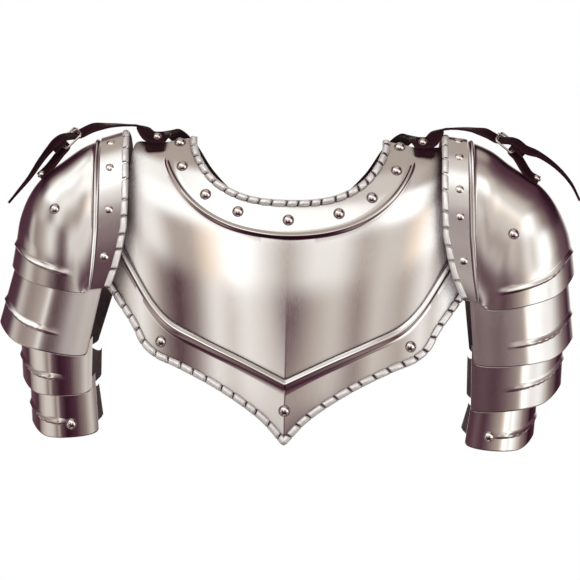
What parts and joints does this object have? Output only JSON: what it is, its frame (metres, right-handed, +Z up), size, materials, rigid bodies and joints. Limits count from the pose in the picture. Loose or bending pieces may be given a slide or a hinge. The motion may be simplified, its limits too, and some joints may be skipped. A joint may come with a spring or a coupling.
{
  "type": "plate armour gorget with pauldrons",
  "caption": "Steel front plate with a roped collar and pointed lower border, with a pair of laminated shoulder guards hung from it on leather straps.",
  "frame": {"origin": "middle of the line over the tops of the shoulders, at the base of the neck, where the wearer's shoulders carry the plate", "axes": "+X to the wearer's left across the shoulders, -Y out of the chest, +Z up"},
  "size_m": [0.5778, 0.2033, 0.3224],
  "materials": {
    "steel": "polished sheet steel with fine brushing",
    "rivet_steel": "polished domed heads",
    "nickel": "satin nickel plate",
    "leather": "dark dyed strap leather, lightly waxed"
  },
  "bodies": {
    "root": {"gorget_plate": "steel", "collar_rivet_1": "rivet_steel", "collar_rivet_2": "rivet_steel", "collar_rivet_3": "rivet_steel", "collar_rivet_4": "rivet_steel", "collar_rivet_5": "rivet_steel", "collar_rivet_6": "rivet_steel", "collar_rivet_7": "rivet_steel", "collar_rivet_8": "rivet_steel", "collar_rivet_9": "rivet_steel", "border_rivet_1": "rivet_steel", "border_rivet_2": "rivet_steel", "border_rivet_3": "rivet_steel", "right_arm_cop": "steel", "right_arm_upper_lame": "steel", "right_arm_middle_lame": "steel", "right_arm_lower_lame": "steel", "right_arm_band_rivet_1": "rivet_steel", "right_arm_band_rivet_2": "rivet_steel", "right_arm_band_rivet_3": "rivet_steel", "right_arm_band_rivet_4": "rivet_steel", "right_arm_front_cop_rivet": "rivet_steel", "right_arm_front_lame_rivet": "rivet_steel", "right_arm_rear_cop_rivet": "rivet_steel", "right_arm_rear_lame_rivet": "rivet_steel", "right_arm_front_inner_leather": "leather", "right_arm_rear_inner_leather": "leather", "right_arm_buckle_frame": "nickel", "right_arm_buckle_prong": "nickel", "right_arm_shoulder_strap": "leather", "right_arm_chape": "leather", "right_arm_chape_rivet": "rivet_steel", "right_arm_back_strap": "leather", "right_arm_tab_rivet": "rivet_steel", "left_arm_cop": "steel", "left_arm_upper_lame": "steel", "left_arm_middle_lame": "steel", "left_arm_lower_lame": "steel", "left_arm_band_rivet_1": "rivet_steel", "left_arm_band_rivet_2": "rivet_steel", "left_arm_band_rivet_3": "rivet_steel", "left_arm_band_rivet_4": "rivet_steel", "left_arm_band_rivet_5": "rivet_steel", "left_arm_front_cop_rivet": "rivet_steel", "left_arm_front_lame_rivet": "rivet_steel", "left_arm_rear_cop_rivet": "rivet_steel", "left_arm_rear_lame_rivet": "rivet_steel", "left_arm_front_inner_leather": "leather", "left_arm_rear_inner_leather": "leather", "left_arm_buckle_frame": "nickel", "left_arm_buckle_prong": "nickel", "left_arm_shoulder_strap": "leather", "left_arm_chape": "leather", "left_arm_chape_rivet": "rivet_steel", "left_arm_back_strap": "leather", "left_arm_tab_rivet": "rivet_steel"}
  },
  "joints": []
}
